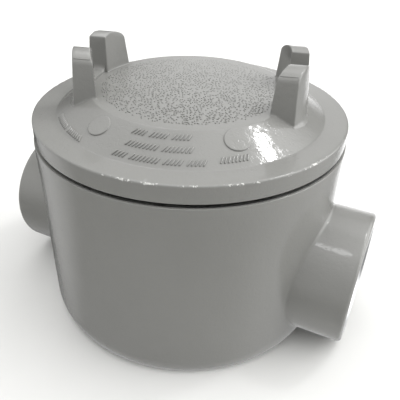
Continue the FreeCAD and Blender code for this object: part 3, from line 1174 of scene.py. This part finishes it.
cover_first = skirt_bottom + skirt_chamfer + 0.3 * cover_pitch
cover_last = rim_bottom - 0.6 * cover_pitch
thread("cover_thread", skirt_radius, cover_depth, cover_pitch, cover_first, cover_last, round_z,
       turned_neck, "cover")
neck_first = neck_bottom + 0.5 * cover_pitch
neck_last = body_height - neck_chamfer - 0.4 * cover_pitch
neck_phase = 2 * math.pi * (neck_first - cover_first) / cover_pitch + math.pi
thread("neck_thread", neck_radius, -cover_depth, cover_pitch, neck_first, neck_last, round_z,
       turned_neck, "body", phase=neck_phase)
pipe_first = pipe_stop + 0.5 * pipe_pitch
pipe_last = hub_reach - mouth_chamfer - 0.4 * pipe_pitch
for side, name in ((1, "right_hub_thread"), (-1, "left_hub_thread")):
    thread(name, pipe_radius, -pipe_depth, pipe_pitch, pipe_first, pipe_last,
           lambda radius, turn, along: on_side(round_hub(radius, turn, along), side), turned_hub, "body")

# %% [markdown]
# ## O-ring
# The seal is a black nitrile rubber ring in the groove under the rim. It is moulded in two
# halves, so a fine line of flash runs round its inside and outside. It is a swept circle whose
# section has that small ridge. Rubber is dull and nearly black, with a bloom of fine dust. The
# grain that the mould leaves is finer than the 0.5 mm drawn here, which is coarse enough to show.

# %% O-ring
bloom_width = 4.0
grain_width, grain_depth = 0.5, 0.05 * MM

rubber, tree, shader, place = finish("black nitrile rubber", roughness=0.6, ior=1.52)
bloom = add(tree, "ShaderNodeTexNoise",
            {"Vector": place, "Scale": per_metre(bloom_width), "Detail": 5.0})
dusty = add(tree, "ShaderNodeMix",
            {0: bloom.outputs[0], 6: colour("#161616"), 7: colour("#242322")}, data_type="RGBA")
grain = add(tree, "ShaderNodeTexNoise",
            {"Vector": place, "Scale": per_metre(grain_width), "Detail": 3.0})
rubber_bump = add(tree, "ShaderNodeBump",
                  {"Height": grain.outputs[0], "Strength": 0.2, "Distance": grain_depth})
feed(shader, {"Base Color": dusty.outputs[2], "Normal": rubber_bump.outputs[0]})

seal_middle = (seal_low.z + seal_high.z) / 2
section_points = 24
flash = 0.12 * MM
seal_rows = []
for i in range(section_points + 1):
    a = 2 * math.pi * i / section_points
    swell = flash if i % (section_points // 2) == 0 else 0.0
    radius = seal_section / 2 + swell
    seal_rows.append(wall_ring(seal_radius + radius * math.cos(a), seal_middle + radius * math.sin(a)))
seal_skin = Skin()
seal_skin.patch(seal_rows)
piece("o_ring", seal_skin.mesh(), [rubber], "seal", sharp=60, replaces="cover_o_ring")

# %% [markdown]
# ## Ground screw and washer
# Inside the box a green screw with a dished washer takes the ground wire. Their CAD shapes are
# right as they are, so they stay and only get finishes. Green marks a ground screw: the zinc is
# dyed when it is passivated, so it is a thin glassy colour over metal with pale worn places. The
# washer's zinc is left bright, with small duller patches from handling.

# %% Ground screw and washer
dye_width = 1.5
patch_width = 1.2

green_zinc, tree, shader, place = finish("green passivated zinc on steel", metallic=1.0, roughness=0.3)
dye = add(tree, "ShaderNodeTexNoise", {"Vector": place, "Scale": per_metre(dye_width), "Detail": 4.0})
dyed = add(tree, "ShaderNodeMix",
           {0: dye.outputs[0], 6: colour("#2E7D46"), 7: colour("#58A86B")}, data_type="RGBA")
dull = add(tree, "ShaderNodeMapRange", {"Value": dye.outputs[0], "To Min": 0.22, "To Max": 0.4})
feed(shader, {"Base Color": dyed.outputs[2], "Roughness": dull.outputs[0]})

bright_zinc, tree, shader, place = finish("bright zinc on steel", metallic=1.0, roughness=0.32)
patches = add(tree, "ShaderNodeTexVoronoi", {"Vector": place, "Scale": per_metre(patch_width)})
plated = add(tree, "ShaderNodeMix", {0: patches.outputs["Distance"], 6: colour("#BFC3C6"),
                                     7: colour("#DDDFE0")}, data_type="RGBA")
dull = add(tree, "ShaderNodeMapRange",
           {"Value": patches.outputs["Distance"], "To Min": 0.25, "To Max": 0.4})
feed(shader, {"Base Color": plated.outputs[2], "Roughness": dull.outputs[0]})

for node, material in (("ground_screw", green_zinc), ("ground_washer", bright_zinc)):
    data = frame["nodes"][node].data
    data.materials.clear()
    data.materials.append(material)
    print(node, "is", material.name)

# %% [markdown]
# ## Floor
# The box stands on a plain pale sheet, large enough to fill the picture. Paper pulp lies a little
# unevenly, which gives it faint clouds. The sheet is not part of the object. It lights the box from
# below, but it is kept out of the mirror images in the enamel: those show a darker room, so the
# walls keep their depth.

# %% Floor
pulp_width = 30.0
floor_half = 4.0

paper, tree, shader, place = finish("white paper sheet", roughness=0.7, ior=1.45)
pulp = add(tree, "ShaderNodeTexNoise", {"Vector": place, "Scale": per_metre(pulp_width), "Detail": 2.0})
tone = add(tree, "ShaderNodeMix",
           {0: pulp.outputs[0], 6: colour("#DADAD8"), 7: colour("#DEDEDC")}, data_type="RGBA")
feed(shader, {"Base Color": tone.outputs[2]})

floor_skin = Skin()
floor_skin.patch([[(x * floor_half, y * floor_half, 0) for x in (-1, 1)] for y in (-1, 1)], closed=False)
floor = show("floor", floor_skin.mesh(), [paper])
floor.visible_glossy = False
print("floor", 2 * floor_half, "m wide")

# %% [markdown]
# ## Backdrop
# Seen from the side, the floor ends and the tent's glows would show as blotches. A dome of
# backlit white cloth closes the view; a faint noise in its colour is painted shade, as of soft
# folds. Only the camera sees it: it throws no shadow and no mirror image, so the part is still lit
# by the tent.

# %% Backdrop
fold_shade_width = 400.0
dome_radius = 3.9
dome_columns, dome_steps = 96, 24

cloth, tree, shader, place = finish("backlit white cloth", roughness=0.9)
# painted shade of soft folds: a faint noise that makes the cloth's colour a little lighter or darker
fold_shade = add(tree, "ShaderNodeTexNoise", {"Vector": place, "Scale": per_metre(fold_shade_width), "Detail": 1.0})
tone = add(tree, "ShaderNodeMix",
           {0: fold_shade.outputs[0], 6: colour("#EDEDEB"), 7: colour("#F1F1EF")}, data_type="RGBA")
feed(shader, {"Base Color": tone.outputs[2], "Emission Color": tone.outputs[2],
              "Emission Strength": 0.6})

dome_skin = Skin()
dome_skin.patch([ring(dome_radius * c, dome_radius * s, dome_columns) for s, c in quarter(dome_steps)])
backdrop = show("backdrop", dome_skin.mesh(), [cloth])
backdrop.visible_diffuse = False
backdrop.visible_glossy = False
backdrop.visible_transmission = False
backdrop.visible_shadow = False
print("backdrop", 2 * dome_radius, "m across")
